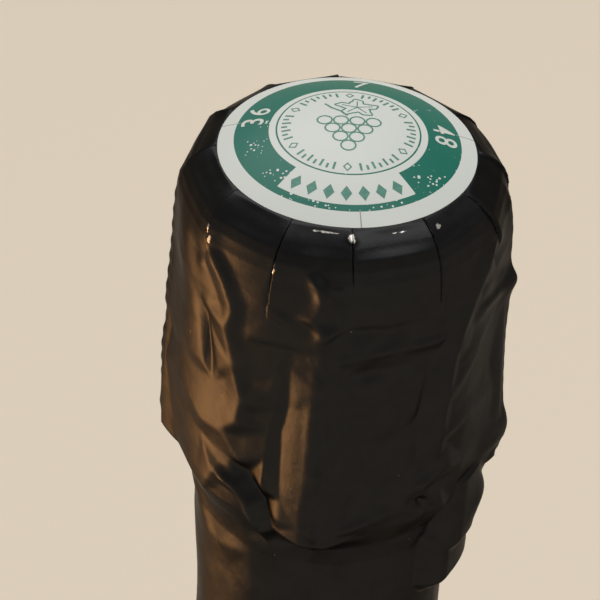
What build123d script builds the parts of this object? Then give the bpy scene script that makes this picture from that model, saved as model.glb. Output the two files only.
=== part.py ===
from build123d import *
import math
import os

os.makedirs("parts", exist_ok=True)

# A sealed bottle of sparkling wine, standing on its base ring at z = 0, in mm.
# From the inside out: glass and wine, cork, cap plate and wire cage, foil and top disc.

# Glass bottle
bottle_height = 300.0
body_radius = 44.3
body_top = 108.0
neck_radius = 14.0
neck_foot_radius = 14.2
neck_length = 32.0
glass_wall = 5.0
base_floor = 7.0
heel_radius = 11.0
stand_width = 4.0
punt_height = 32.0
punt_thickness = 9.0
punt_tip_share = 0.45
punt_flank_share = 0.80
punt_flank_rise_share = 0.40
shoulder_pull_share = 0.33
neck_flare = 1.1
neck_pull_share = 0.65
shoulder_spans = 16

# Finish: the lip and the ring that the cage hooks under
finish_height = 16.5
ring_radius = 16.75
ring_height = 7.5
ring_upper_rounding = 2.4
ring_lower_rounding = 0.9
collar_radius = 13.3
lip_radius = 14.3
lip_height = 6.0
lip_rounding = 1.4
mouth_chamfer = 0.6

# Bore of the neck
bore_radius = 8.75
bore_length = 20.0
throat_radius = 9.8
throat_depth = 45.0
throat_pull_share = 0.40
punt_spans = 8
trough_spans = 3
throat_spans = 12

# Wine
fill_height = 222.0
wine_gap = 0.15

# Cork: an agglomerated body and two discs of natural cork on the wine's side
cork_clearance = 0.12
cork_depth = 24.0
cork_disc_thickness = 5.5
cork_head_radius = 15.2
cork_lift = 0.3
cork_flare_height = 8.5
cork_flare_reach_share = 0.75
cork_flare_rise_share = 0.35
cork_edge_rounding = 8.5
flare_spans = 5
edge_spans = 5
cork_end_chamfer = 0.5

# Crown: disc, foil, plate and cork are domed about one centre
crown_rise = 22.0
crown_radius = 31.8
disc_radius = 13.6
disc_thickness = 0.25
foil_thickness = 0.25
seat_gap = 0.12
plate_thickness = 0.4
plate_radius = 14.9
plate_skirt = 1.8
plate_bead_radius = 0.35
plate_step_radius = 9.0
plate_step_height = 0.2

# Wire cage: one wire that makes the crown ring, four twisted legs and their eyes
wire_radius = 0.425
wire_sides = 6
chord_slack = 0.07
strand_gap = 0.45
leg_count = 4
leg_turn = -94.0
leg_turns = -4.25
leg_spans = 17
leg_top_radius = 16.4
leg_top_drop = 3.0
leg_foot_radius = 18.2
leg_foot_rise = 0.8
crown_wire_gap = 0.1
crown_wire_drop = 1.0
crown_bend_width = 3.2
eye_radius = 1.3
eye_centre_radius = 16.4
eye_drop = 2.15
eye_lean = 0.6
wire_joint_gap = 0.5

# Belt wire: a ring through the four eyes, its ends twisted into a tail with a loop
belt_wire_radius = 0.5
belt_radius = 16.35
tail_turn = -24.0
tail_turns = 1.5
tail_spans = 6
tail_radius = 16.6
tail_top_drop = 2.4
tail_twist_length = 7.5
tail_loop_length = 5.5
tail_loop_width = 4.4
tail_bend_width = 3.4
tail_strand_gap = 0.45

# Foil: turned in under the disc, pleated at the rim, drawn in below the ring
foil_gap = 0.2
foil_sides = 36
foil_pleats = 12
turn_in_radius = 10.0
rim_lift = 0.25
head_slack = 0.55
ring_slack = 0.15
belt_slack = 0.45
neck_slack = 0.1
foil_length = 96.0
gather_height = 4.0
gather_drop = 8.5
eye_clear = 0.5
pleat_depth = 0.35
skirt_spans = 4
overrun = 2.0

ring_bottom = bottle_height - finish_height
ring_top = ring_bottom + ring_height
lip_bottom = bottle_height - lip_height
sealed_height = bottle_height + crown_rise
crown_centre = sealed_height - crown_radius


def curve_points(points, spans):
    """Points evenly along the parameter of a cubic Bezier curve, its ends included."""
    curve = []
    for span in range(spans + 1):
        share = span / spans
        terms = [
            math.comb(3, power) * share**power * (1 - share) ** (3 - power)
            for power in range(4)
        ]
        curve.append(
            tuple(sum(term * point[axis] for term, point in zip(terms, points)) for axis in (0, 1))
        )
    return curve


def crown_height(sphere_radius, radius):
    """Height at a radius of a dome about the crown's centre."""
    return crown_centre + math.sqrt(sphere_radius**2 - radius**2)


def dome_line(sphere_radius, outer, inner=0):
    """An arc of the dome, from its outer to its inner radius."""
    middle = (outer + inner) / 2
    return ThreePointArc(
        (outer, crown_height(sphere_radius, outer)),
        (middle, crown_height(sphere_radius, middle)),
        (inner, crown_height(sphere_radius, inner)),
    )


# Outside of the glass: punt, base ring, heel, body, shoulder, neck and finish
punt_mouth = body_radius - heel_radius - stand_width
stand_radius = body_radius - heel_radius
punt_outside = [
    (0, punt_height),
    (punt_tip_share * punt_mouth, punt_height),
    (punt_flank_share * punt_mouth, punt_flank_rise_share * punt_height),
    (punt_mouth, 0),
]
shoulder_top = ring_bottom - neck_length
shoulder_height = shoulder_top - body_top
shoulder_points = [
    (body_radius, body_top),
    (body_radius, body_top + shoulder_pull_share * shoulder_height),
    (neck_foot_radius + neck_flare, shoulder_top - (1 - neck_pull_share) * shoulder_height),
    (neck_foot_radius, shoulder_top),
]


def cavity_outline(inset):
    """Half outline of the inside of the glass, drawn in by an inset."""
    wall = body_radius - glass_wall - inset
    turn = heel_radius - glass_wall - inset
    floor = base_floor + inset
    tip = punt_height + punt_thickness + inset
    trough = wall - turn
    throat = bottle_height - throat_depth
    bore = bore_radius - inset
    rise = throat - body_top
    punt_points = [
        (0, tip),
        (punt_tip_share * trough, tip),
        (punt_flank_share * trough, floor),
        (trough, floor),
    ]
    trough_points = [
        (
            trough + turn * math.sin(math.pi / 2 * span / trough_spans),
            floor + turn * (1 - math.cos(math.pi / 2 * span / trough_spans)),
        )
        for span in range(1, trough_spans + 1)
    ]
    throat_points = [
        (wall, body_top),
        (wall, body_top + shoulder_pull_share * rise),
        (throat_radius + neck_flare - inset, throat - throat_pull_share * rise),
        (throat_radius - inset, throat),
    ]
    Polyline(
        *curve_points(punt_points, punt_spans),
        *trough_points,
        *curve_points(throat_points, throat_spans),
        (bore, bottle_height - bore_length),
        (bore, bottle_height + overrun),
        (0, bottle_height + overrun),
        close=True,
    )


with BuildPart() as bottle:
    with BuildSketch(Plane.XZ):
        with BuildLine():
            Polyline(*curve_points(punt_outside, punt_spans))
            Line((punt_mouth, 0), (stand_radius, 0))
            JernArc((stand_radius, 0), (1, 0), heel_radius, 90)
            Line((body_radius, heel_radius), (body_radius, body_top))
            Polyline(*curve_points(shoulder_points, shoulder_spans), (neck_radius, ring_bottom))
            FilletPolyline(
                (neck_radius, ring_bottom),
                (ring_radius, ring_bottom),
                (ring_radius, ring_top),
                (collar_radius, ring_top),
                radius=[ring_lower_rounding, ring_upper_rounding],
            )
            Polyline(
                (collar_radius, ring_top),
                (collar_radius, lip_bottom),
                (lip_radius, lip_bottom),
            )
            FilletPolyline(
                (lip_radius, lip_bottom),
                (lip_radius, bottle_height),
                (0, bottle_height),
                radius=lip_rounding,
            )
            Line((0, bottle_height), (0, punt_height))
        make_face()
    revolve(axis=Axis.Z)
    with BuildSketch(Plane.XZ):
        with BuildLine():
            cavity_outline(0)
        make_face()
    revolve(axis=Axis.Z, mode=Mode.SUBTRACT)
    mouth_edges = bottle.edges().filter_by(GeomType.CIRCLE).group_by(Axis.Z)[-1]
    chamfer(mouth_edges.sort_by(SortBy.RADIUS)[0], mouth_chamfer)
bottle.part.label = "bottle"
export_step(bottle.part, "parts/bottle.step")

# Wine: fills the cavity up to the fill height
with BuildPart() as wine:
    with BuildSketch(Plane.XZ):
        with BuildLine():
            cavity_outline(wine_gap)
        make_face()
    revolve(axis=Axis.Z)
    split(bisect_by=Plane.XY.offset(fill_height), keep=Keep.BOTTOM)
wine.part.label = "wine"
export_step(wine.part, "parts/wine.step")

# Cork: the body flares above the lip into a head, domed by the plate that holds it down
cork_radius = bore_radius - cork_clearance
cork_bottom = bottle_height - cork_depth
cork_body_bottom = cork_bottom + 2 * cork_disc_thickness
flare_bottom = bottle_height + cork_lift
flare_top = bottle_height + cork_flare_height
foil_crown = crown_radius - disc_thickness - seat_gap
plate_crown = foil_crown - foil_thickness - seat_gap
cork_crown = plate_crown - plate_thickness - seat_gap
head_spread = cork_head_radius - cork_radius
flare_points = [
    (cork_radius, flare_bottom),
    (cork_radius + cork_flare_reach_share * head_spread, flare_bottom),
    (cork_head_radius, flare_bottom + cork_flare_rise_share * cork_flare_height),
    (cork_head_radius, flare_top),
]
edge_radius = cork_head_radius - cork_edge_rounding
edge_height = crown_height(cork_crown - cork_edge_rounding, edge_radius)
edge_turn = math.atan2(edge_height - crown_centre, edge_radius)
edge_points = [
    (
        edge_radius + cork_edge_rounding * math.cos(edge_turn * span / edge_spans),
        edge_height + cork_edge_rounding * math.sin(edge_turn * span / edge_spans),
    )
    for span in range(edge_spans + 1)
]

with BuildPart() as cork_body:
    with BuildSketch(Plane.XZ):
        with BuildLine():
            Line((0, cork_body_bottom), (cork_radius, cork_body_bottom))
            Line((cork_radius, cork_body_bottom), (cork_radius, flare_bottom))
            Polyline(*curve_points(flare_points, flare_spans))
            Polyline((cork_head_radius, flare_top), *edge_points)
            dome_line(cork_crown, edge_points[-1][0])
            Line((0, crown_height(cork_crown, 0)), (0, cork_body_bottom))
        make_face()
    revolve(axis=Axis.Z)
cork_body.part.label = "cork_body"
export_step(cork_body.part, "parts/cork_body.step")

with BuildPart() as cork_disc_upper:
    with BuildSketch(Plane.XY.offset(cork_bottom + cork_disc_thickness)):
        Circle(cork_radius)
    extrude(amount=cork_disc_thickness)
cork_disc_upper.part.label = "cork_disc_upper"
export_step(cork_disc_upper.part, "parts/cork_disc_upper.step")

with BuildPart() as cork_disc_lower:
    with BuildSketch(Plane.XY.offset(cork_bottom)):
        Circle(cork_radius)
    extrude(amount=cork_disc_thickness)
    chamfer(cork_disc_lower.edges().sort_by(Axis.Z)[0], cork_end_chamfer)
cork_disc_lower.part.label = "cork_disc_lower"
export_step(cork_disc_lower.part, "parts/cork_disc_lower.step")

# Cap plate: pressed steel with a raised middle, a skirt and a rolled bead at its foot
plate_edge = crown_height(plate_crown, plate_radius)
skirt_bottom = plate_edge - plate_skirt
plate_inner_radius = plate_radius - plate_thickness
plate_inner_crown = plate_crown - plate_thickness
step_outer_radius = plate_step_radius + plate_step_height

with BuildPart() as cap_plate:
    with BuildSketch(Plane.XZ):
        with BuildLine():
            dome_line(plate_crown, plate_radius, step_outer_radius)
            Line(
                (step_outer_radius, crown_height(plate_crown, step_outer_radius)),
                (plate_step_radius, crown_height(plate_crown + plate_step_height, plate_step_radius)),
            )
            dome_line(plate_crown + plate_step_height, plate_step_radius)
            Line(
                (0, crown_height(plate_crown + plate_step_height, 0)),
                (0, crown_height(plate_inner_crown, 0)),
            )
            dome_line(plate_inner_crown, plate_inner_radius)
            Polyline(
                (plate_inner_radius, crown_height(plate_inner_crown, plate_inner_radius)),
                (plate_inner_radius, skirt_bottom),
                (plate_radius, skirt_bottom),
                (plate_radius, plate_edge),
            )
        make_face()
        with Locations((plate_radius, skirt_bottom)):
            RegularPolygon(plate_bead_radius, wire_sides)
    revolve(axis=Axis.Z)
cap_plate.part.label = "cap_plate"
export_step(cap_plate.part, "parts/cap_plate.step")


# Wires: a station is a point of a wire and the way that the wire runs there
def spot(turn, out, side, height):
    """A point out from the axis at a turn about it, moved sideways."""
    angle = math.radians(turn)
    return Vector(
        out * math.cos(angle) - side * math.sin(angle),
        out * math.sin(angle) + side * math.cos(angle),
        height,
    )


def ring_stations(radius, height, first_turn, last_turn):
    """The two ends of a level arc about the axis."""
    return [
        (spot(turn, radius, 0, height), spot(turn, 0, 1, 0))
        for turn in (first_turn, last_turn)
    ]


def strand_stations(turn, top, foot, spread, turns, spans, start):
    """One strand of a twisted pair, from top to foot, each given as radius and height."""
    length = math.dist(top, foot)
    along_out = (foot[0] - top[0]) / length
    along_up = (foot[1] - top[1]) / length
    rate = math.pi * turns * spread / length
    stations = []
    for span in range(spans + 1):
        share = span / spans
        angle = math.radians(start + 360 * turns * share)
        over = spread / 2 * math.sin(angle)
        out = top[0] + share * (foot[0] - top[0]) - along_up * over
        height = top[1] + share * (foot[1] - top[1]) + along_out * over
        point = spot(turn, out, spread / 2 * math.cos(angle), height)
        swing = rate * math.cos(angle)
        way = spot(
            turn,
            along_out - along_up * swing,
            -rate * math.sin(angle),
            along_up + along_out * swing,
        )
        stations.append((point, way.normalized()))
    return stations


def backward(stations):
    """The same stations run the other way."""
    return [(point, way * -1) for point, way in reversed(stations)]


def wire_lines(stations):
    """Two arcs from each station to the next, each tangent to the one before."""
    for (start, start_way), (end, end_way) in zip(stations, stations[1:]):
        chord = end - start
        square = 2 * (1 - start_way.dot(end_way))
        linear = 2 * chord.dot(start_way + end_way)
        reach = 2 * chord.dot(chord) / (linear + math.sqrt(linear**2 + 4 * square * chord.dot(chord)))
        start_arm = start + start_way * reach
        end_arm = end - end_way * reach
        meeting = (start_arm + end_arm) / 2
        TangentArc(start, meeting, tangent=start_way)
        TangentArc(meeting, end, tangent=(end_arm - start_arm).normalized())


def wire_planes(line):
    """Planes square to a wire, closer together where it bends."""
    edges = line.edges()
    across = Vector(0, 0, 1)
    planes = []
    for edge in edges:
        step = 2 * math.acos(1 - chord_slack / edge.radius)
        bends = math.ceil(edge.length / edge.radius / step)
        for bend in range(bends + (edge is edges[-1])):
            way = edge.tangent_at(bend / bends)
            across = (across - way * across.dot(way)).normalized()
            planes.append(Plane(edge.position_at(bend / bends), across, way))
    return planes


def least_gap(line, radius):
    """Least clear distance from a wire to itself, past its own bends."""
    count = round(line.length / radius)
    points = [line.position_at(number / count) for number in range(count + 1)]
    skip = round(math.pi * (2 * radius + strand_gap) / radius)
    least = min(
        (points[one] - points[other]).length
        for one in range(count + 1)
        for other in range(one + skip, count + 1 - (skip if one < skip else 0))
    )
    return least - 2 * radius


# Wire cage
crown_wire_radius = plate_radius + plate_bead_radius + wire_radius + crown_wire_gap
crown_wire_height = plate_edge - crown_wire_drop
crown_bend_turn = math.degrees(crown_bend_width / crown_wire_radius)
leg_top = (leg_top_radius, crown_wire_height - leg_top_drop)
leg_foot = (leg_foot_radius, ring_bottom + leg_foot_rise)
leg_spread = 2 * wire_radius + strand_gap
leg_reach = leg_spread / 2 + wire_radius
eye_height = ring_bottom - eye_drop
leg_step = 360 / leg_count
joint_turn = math.degrees(wire_joint_gap / crown_wire_radius)

cage_stations = []
for leg in range(leg_count):
    turn = leg_turn + leg * leg_step
    last_turn = turn - leg_step + crown_bend_turn if leg else turn - leg_step / 2 + joint_turn
    cage_stations += ring_stations(
        crown_wire_radius, crown_wire_height, last_turn, turn - crown_bend_turn
    )
    cage_stations += strand_stations(
        turn, leg_top, leg_foot, leg_spread, leg_turns, leg_spans, 180
    )
    cage_stations += [
        (spot(turn, eye_centre_radius + eye_radius + eye_lean, 0, eye_height), Vector(0, 0, -1)),
        (spot(turn, eye_centre_radius, 0, eye_height - eye_radius), spot(turn, -1, 0, 0)),
        (spot(turn, eye_centre_radius - eye_radius, 0, eye_height), Vector(0, 0, 1)),
        (spot(turn, eye_centre_radius, 0, eye_height + eye_radius), spot(turn, 1, 0, 0)),
    ]
    cage_stations += backward(
        strand_stations(turn, leg_top, leg_foot, leg_spread, leg_turns, leg_spans, 0)
    )
end_turn = leg_turn + (leg_count - 1) * leg_step
cage_stations += ring_stations(
    crown_wire_radius, crown_wire_height, end_turn + crown_bend_turn, end_turn + leg_step / 2
)

with BuildPart() as cage_wire:
    with BuildLine() as cage_line:
        wire_lines(cage_stations)
    for plane in wire_planes(cage_line):
        with BuildSketch(plane):
            RegularPolygon(wire_radius, wire_sides)
    loft(ruled=True)
print("cage wire: length", round(cage_line.wire().length, 2))
print("cage wire: least gap to itself", round(least_gap(cage_line.wire(), wire_radius), 3))
cage_wire.part.label = "cage_wire"
export_step(cage_wire.part, "parts/cage_wire.step")

# Belt wire
belt_height = eye_height
tail_spread = 2 * belt_wire_radius + tail_strand_gap
tail_top = (tail_radius, belt_height - tail_top_drop)
tail_foot = (tail_radius, tail_top[1] - tail_twist_length)
tail_bend_turn = math.degrees(tail_bend_width / belt_radius)
belt_joint_turn = math.degrees(wire_joint_gap / belt_radius)
loop_middle = tail_foot[1] - tail_loop_length / 2
loop_bottom = tail_foot[1] - tail_loop_length
opposite_turn = tail_turn - 180

belt_stations = ring_stations(
    belt_radius, belt_height, opposite_turn + belt_joint_turn, tail_turn - tail_bend_turn
)
belt_stations += strand_stations(
    tail_turn, tail_top, tail_foot, tail_spread, tail_turns, tail_spans, 180
)
belt_stations += [
    (spot(tail_turn, tail_radius, tail_loop_width / 2, loop_middle), Vector(0, 0, -1)),
    (spot(tail_turn, tail_radius, 0, loop_bottom), spot(tail_turn, 0, -1, 0)),
    (spot(tail_turn, tail_radius, -tail_loop_width / 2, loop_middle), Vector(0, 0, 1)),
]
belt_stations += backward(
    strand_stations(tail_turn, tail_top, tail_foot, tail_spread, tail_turns, tail_spans, 0)
)
belt_stations += ring_stations(
    belt_radius, belt_height, tail_turn + tail_bend_turn, opposite_turn + 360
)

with BuildPart() as belt_wire:
    with BuildLine() as belt_line:
        wire_lines(belt_stations)
    for plane in wire_planes(belt_line):
        with BuildSketch(plane):
            RegularPolygon(belt_wire_radius, wire_sides)
    loft(ruled=True)
print("belt wire: length", round(belt_line.wire().length, 2))
print("belt wire: least gap to itself", round(least_gap(belt_line.wire(), belt_wire_radius), 3))
belt_wire.part.label = "belt_wire"
export_step(belt_wire.part, "parts/belt_wire.step")


# Foil skirt
def glass_radius(height):
    """Radius of the glass at a height between the body's top and the ring."""
    outline = [*curve_points(shoulder_points, shoulder_spans), (neck_radius, ring_bottom)]
    return next(
        low[0] + (high[0] - low[0]) * (height - low[1]) / (high[1] - low[1])
        for low, high in zip(outline, outline[1:])
        if height <= high[1]
    )


def leg_radius(height):
    """Outer reach of a leg at a height."""
    share = (leg_top[1] - height) / (leg_top[1] - leg_foot[1])
    return leg_top[0] + share * (leg_foot[0] - leg_top[0]) + leg_reach


skin = foil_gap + foil_thickness
crown_wire_reach = crown_wire_radius + wire_radius
head_radius = crown_wire_reach + skin + head_slack
rim_height = plate_edge + seat_gap + foil_thickness + rim_lift
eye_bottom = eye_height - eye_radius - wire_radius
eye_reach = eye_centre_radius + eye_radius + eye_lean + wire_radius + skin
belt_reach = belt_radius + belt_wire_radius + skin
tail_reach = tail_radius + tail_spread / 2 + belt_wire_radius + skin
foil_bottom = sealed_height - foil_length
gather_top = eye_bottom - gather_height
gather_bottom = eye_bottom - gather_drop
tail_bottom = loop_bottom - belt_wire_radius - foil_gap
skirt_top = tail_bottom - gather_height
head_middle = (leg_top[1] + ring_top) / 2
ring_base = ring_radius + skin + ring_slack
belt_base = belt_reach + belt_slack

# Each ring of the foil: height, radius between the legs, radius over the legs,
# radius over the tail, depth of the pleats
foil_rings = [
    (crown_height(foil_crown, turn_in_radius), *[turn_in_radius] * 3, 0),
    (crown_height(foil_crown, disc_radius), *[disc_radius] * 3, 0),
    (rim_height, *[plate_radius + skin + pleat_depth / 2] * 3, pleat_depth / 2),
    (crown_wire_height, *[crown_wire_reach + skin + pleat_depth] * 3, pleat_depth),
    (leg_top[1], head_radius, leg_radius(leg_top[1]) + skin, head_radius, pleat_depth),
    (head_middle, head_radius, leg_radius(head_middle) + skin, head_radius, pleat_depth / 2),
    (ring_top, ring_base, leg_radius(ring_top) + skin, ring_base, 0),
    (leg_foot[1], belt_base, leg_radius(leg_foot[1]) + skin, tail_reach, 0),
    (eye_bottom, belt_base, eye_reach + eye_clear, tail_reach, 0),
]
for height in (gather_top, gather_bottom, tail_bottom):
    neck = glass_radius(height) + skin + belt_slack
    foil_rings.append((height, neck, neck, tail_reach, 0))
for span in range(skirt_spans + 1):
    height = skirt_top + (foil_bottom - skirt_top) * span / skirt_spans
    neck = glass_radius(height) + skin + neck_slack
    foil_rings.append((height, neck, neck, neck, 0))


def ring_corners(base, over_leg, over_tail, pleat, inset):
    """Corners of one ring of the foil, drawn in by an inset."""
    corners = []
    for side in range(foil_sides):
        turn = leg_turn + 360 * side / foil_sides
        leg_share = ((1 + math.cos(math.radians(leg_count * (turn - leg_turn)))) / 2) ** 3
        tail_share = max(0, math.cos(math.radians(turn - tail_turn))) ** 5
        pleat_share = math.cos(math.radians(foil_pleats * (turn - leg_turn)))
        rise = max((over_leg - base) * leg_share, (over_tail - base) * tail_share)
        corners.append(spot(turn, base + rise + pleat * pleat_share - inset, 0, 0))
    return [(corner.X, corner.Y) for corner in corners]


outer_rings = [(ring[0], ring_corners(*ring[1:], 0)) for ring in foil_rings]
turn_in_corners = ring_corners(*foil_rings[0][1:], -foil_thickness)
inner_rings = [
    (foil_rings[0][0] + overrun, turn_in_corners),
    (foil_rings[0][0] - foil_thickness, turn_in_corners),
]
for ring in foil_rings[1:]:
    drawn_in = foil_thickness if ring[1] > disc_radius else 0
    sunk = foil_thickness if ring[0] > crown_wire_height else 0
    inner_rings.append((ring[0] - sunk, ring_corners(*ring[1:], drawn_in)))
inner_rings.append((foil_bottom - overrun, inner_rings[-1][1]))

with BuildPart() as foil_skirt:
    for height, corners in outer_rings:
        with BuildSketch(Plane.XY.offset(height)):
            with BuildLine():
                Polyline(*corners, close=True)
            make_face()
    loft(ruled=True)
    for height, corners in inner_rings:
        with BuildSketch(Plane.XY.offset(height)):
            with BuildLine():
                Polyline(*corners, close=True)
            make_face()
    loft(ruled=True, mode=Mode.SUBTRACT)
foil_skirt.part.label = "foil_skirt"
export_step(foil_skirt.part, "parts/foil_skirt.step")

# Top disc: laid on the turned-in foil
with BuildPart() as top_disc:
    with BuildSketch(Plane.XZ):
        with BuildLine():
            dome_line(crown_radius, disc_radius)
            Line((0, sealed_height), (0, sealed_height - disc_thickness))
            dome_line(crown_radius - disc_thickness, disc_radius)
            Line(
                (disc_radius, crown_height(crown_radius - disc_thickness, disc_radius)),
                (disc_radius, crown_height(crown_radius, disc_radius)),
            )
        make_face()
    revolve(axis=Axis.Z)
top_disc.part.label = "top_disc"
export_step(top_disc.part, "parts/top_disc.step")
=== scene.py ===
import bpy
import math
import numpy as np
import random
from mathutils import Matrix, Vector, geometry


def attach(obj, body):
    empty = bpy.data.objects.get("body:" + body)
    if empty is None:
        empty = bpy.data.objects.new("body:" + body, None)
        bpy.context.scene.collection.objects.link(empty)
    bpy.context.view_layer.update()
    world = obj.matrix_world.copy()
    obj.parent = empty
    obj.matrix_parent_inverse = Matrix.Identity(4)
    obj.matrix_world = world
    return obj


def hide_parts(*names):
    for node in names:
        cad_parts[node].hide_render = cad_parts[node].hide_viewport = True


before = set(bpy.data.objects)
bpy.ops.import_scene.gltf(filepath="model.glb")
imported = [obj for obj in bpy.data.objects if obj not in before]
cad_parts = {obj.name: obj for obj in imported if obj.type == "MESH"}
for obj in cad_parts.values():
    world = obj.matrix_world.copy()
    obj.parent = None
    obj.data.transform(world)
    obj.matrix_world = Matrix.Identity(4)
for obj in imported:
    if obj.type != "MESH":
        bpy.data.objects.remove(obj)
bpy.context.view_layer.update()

mm = 0.001

# Glass bottle: moulded in dark green glass, with a punt, a ring for the cage to hook under
# and a lip. A smooth copy of the frame's own solid gets the glass, with a faint cloud and ripple.
# The cloud is a mottle of two tones, which the finishes of the other pieces share.
mottle = bpy.data.node_groups.new("two_tone_mottle", "ShaderNodeTree")
for socket, kind in (
    ("Vector", "NodeSocketVector"), ("Scale", "NodeSocketFloat"),
    ("Detail", "NodeSocketFloat"), ("Coarseness", "NodeSocketFloat"),
    ("First Tone", "NodeSocketColor"), ("Second Tone", "NodeSocketColor"),
    ("Smooth", "NodeSocketFloat"), ("Dull", "NodeSocketFloat"),
):
    mottle.interface.new_socket(name=socket, in_out="INPUT", socket_type=kind)
for socket, kind in (
    ("Tone", "NodeSocketColor"), ("Gloss", "NodeSocketFloat"), ("Height", "NodeSocketFloat")
):
    mottle.interface.new_socket(name=socket, in_out="OUTPUT", socket_type=kind)
nodes, links = mottle.nodes, mottle.links
given, made = nodes.new("NodeGroupInput"), nodes.new("NodeGroupOutput")
cloud = nodes.new("ShaderNodeTexNoise")
links.new(given.outputs["Vector"], cloud.inputs["Vector"])
links.new(given.outputs["Scale"], cloud.inputs["Scale"])
links.new(given.outputs["Detail"], cloud.inputs["Detail"])
links.new(given.outputs["Coarseness"], cloud.inputs["Roughness"])
tones = nodes.new("ShaderNodeMix")
tones.data_type = "RGBA"
links.new(cloud.outputs["Fac"], tones.inputs["Factor"])
links.new(given.outputs["First Tone"], tones.inputs["A"])
links.new(given.outputs["Second Tone"], tones.inputs["B"])
gloss = nodes.new("ShaderNodeMapRange")
links.new(cloud.outputs["Fac"], gloss.inputs["Value"])
links.new(given.outputs["Smooth"], gloss.inputs["To Min"])
links.new(given.outputs["Dull"], gloss.inputs["To Max"])
links.new(tones.outputs["Result"], made.inputs["Tone"])
links.new(gloss.outputs["Result"], made.inputs["Gloss"])
links.new(cloud.outputs["Fac"], made.inputs["Height"])


def mottled(material, scale, first_tone, second_tone, detail=2.0, coarseness=0.5, smooth=0.3, dull=0.5):
    """The mottle placed in a material on Object coordinates, with the material's own values."""
    nodes, links = material.node_tree.nodes, material.node_tree.links
    coords = nodes.new("ShaderNodeTexCoord")
    placed = nodes.new("ShaderNodeGroup")
    placed.node_tree = mottle
    links.new(coords.outputs["Object"], placed.inputs["Vector"])
    placed.inputs["Scale"].default_value = scale
    placed.inputs["Detail"].default_value = detail
    placed.inputs["Coarseness"].default_value = coarseness
    placed.inputs["First Tone"].default_value = first_tone
    placed.inputs["Second Tone"].default_value = second_tone
    placed.inputs["Smooth"].default_value = smooth
    placed.inputs["Dull"].default_value = dull
    return placed


glass = bpy.data.materials.new("dark_green_glass")
glass.use_nodes = True
nodes, links = glass.node_tree.nodes, glass.node_tree.links
shader = nodes["Principled BSDF"]
shader.inputs["Roughness"].default_value = 0.04
shader.inputs["IOR"].default_value = 1.52
shader.inputs["Transmission Weight"].default_value = 1.0
tint = mottled(glass, 24.0, (0.030, 0.105, 0.022, 1), (0.045, 0.135, 0.030, 1))
links.new(tint.outputs["Tone"], shader.inputs["Base Color"])
ripple = nodes.new("ShaderNodeBump")
ripple.inputs["Strength"].default_value = 0.06
ripple.inputs["Distance"].default_value = 0.002
links.new(tint.outputs["Height"], ripple.inputs["Height"])
links.new(ripple.outputs["Normal"], shader.inputs["Normal"])


def poured(node, material):
    """A copy of a solid with its triangles joined and its round faces smooth, as glass shows facets."""
    bpy.ops.object.select_all(action="DESELECT")
    piece = bpy.data.objects.new(node + "_surface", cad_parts[node].data.copy())
    bpy.context.scene.collection.objects.link(piece)
    piece.select_set(True)
    bpy.context.view_layer.objects.active = piece
    bpy.ops.mesh.customdata_custom_splitnormals_clear()
    bpy.ops.object.mode_set(mode="EDIT")
    bpy.ops.mesh.select_all(action="SELECT")
    bpy.ops.mesh.remove_doubles(threshold=0.001 * mm)
    bpy.ops.object.mode_set(mode="OBJECT")
    bpy.ops.object.shade_smooth_by_angle(angle=math.radians(28))
    piece.select_set(False)
    piece.data.materials.clear()
    piece.data.materials.append(material)
    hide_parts(node)
    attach(piece, "bottle")


poured("bottle", glass)

# Wine: pale gold liquid that fills the bottle to the foot of the neck. It is a smooth copy of
# the frame's own solid, as the glass is.
liquid = bpy.data.materials.new("pale_gold_wine")
liquid.use_nodes = True
nodes, links = liquid.node_tree.nodes, liquid.node_tree.links
shader = nodes["Principled BSDF"]
shader.inputs["Roughness"].default_value = 0.02
shader.inputs["IOR"].default_value = 1.34
shader.inputs["Transmission Weight"].default_value = 1.0
haze = mottled(liquid, 12.0, (0.88, 0.74, 0.36, 1), (0.92, 0.80, 0.45, 1))
links.new(haze.outputs["Tone"], shader.inputs["Base Color"])

poured("wine", liquid)

# Cork: ground granules pressed into a body, with two discs cut from natural cork below it.
# The frame's own solids are kept. Both corks share one group of cells, two tones with dark
# pits between them, close together in the body and wide and drawn out in the discs.
cork_cells = bpy.data.node_groups.new("cork_cells", "ShaderNodeTree")
for socket, kind in (
    ("Vector", "NodeSocketVector"), ("Stretch", "NodeSocketVector"), ("Scale", "NodeSocketFloat"),
    ("Ground", "NodeSocketColor"), ("Granule", "NodeSocketColor"), ("Pit", "NodeSocketColor"),
):
    cork_cells.interface.new_socket(name=socket, in_out="INPUT", socket_type=kind)
for socket, kind in (("Tone", "NodeSocketColor"), ("Height", "NodeSocketFloat")):
    cork_cells.interface.new_socket(name=socket, in_out="OUTPUT", socket_type=kind)
nodes, links = cork_cells.nodes, cork_cells.links
given, made = nodes.new("NodeGroupInput"), nodes.new("NodeGroupOutput")
stretched = nodes.new("ShaderNodeMapping")
links.new(given.outputs["Vector"], stretched.inputs["Vector"])
links.new(given.outputs["Stretch"], stretched.inputs["Scale"])
cells = nodes.new("ShaderNodeTexVoronoi")
links.new(stretched.outputs["Vector"], cells.inputs["Vector"])
links.new(given.outputs["Scale"], cells.inputs["Scale"])
edges = nodes.new("ShaderNodeTexVoronoi")
edges.feature = "DISTANCE_TO_EDGE"
links.new(stretched.outputs["Vector"], edges.inputs["Vector"])
links.new(given.outputs["Scale"], edges.inputs["Scale"])
pick = nodes.new("ShaderNodeSeparateColor")
links.new(cells.outputs["Color"], pick.inputs["Color"])
granules = nodes.new("ShaderNodeMix")
granules.data_type = "RGBA"
links.new(pick.outputs["Red"], granules.inputs["Factor"])
links.new(given.outputs["Ground"], granules.inputs["A"])
links.new(given.outputs["Granule"], granules.inputs["B"])
seam = nodes.new("ShaderNodeMapRange")
seam.inputs["From Max"].default_value = 0.07
links.new(edges.outputs["Distance"], seam.inputs["Value"])
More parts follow.
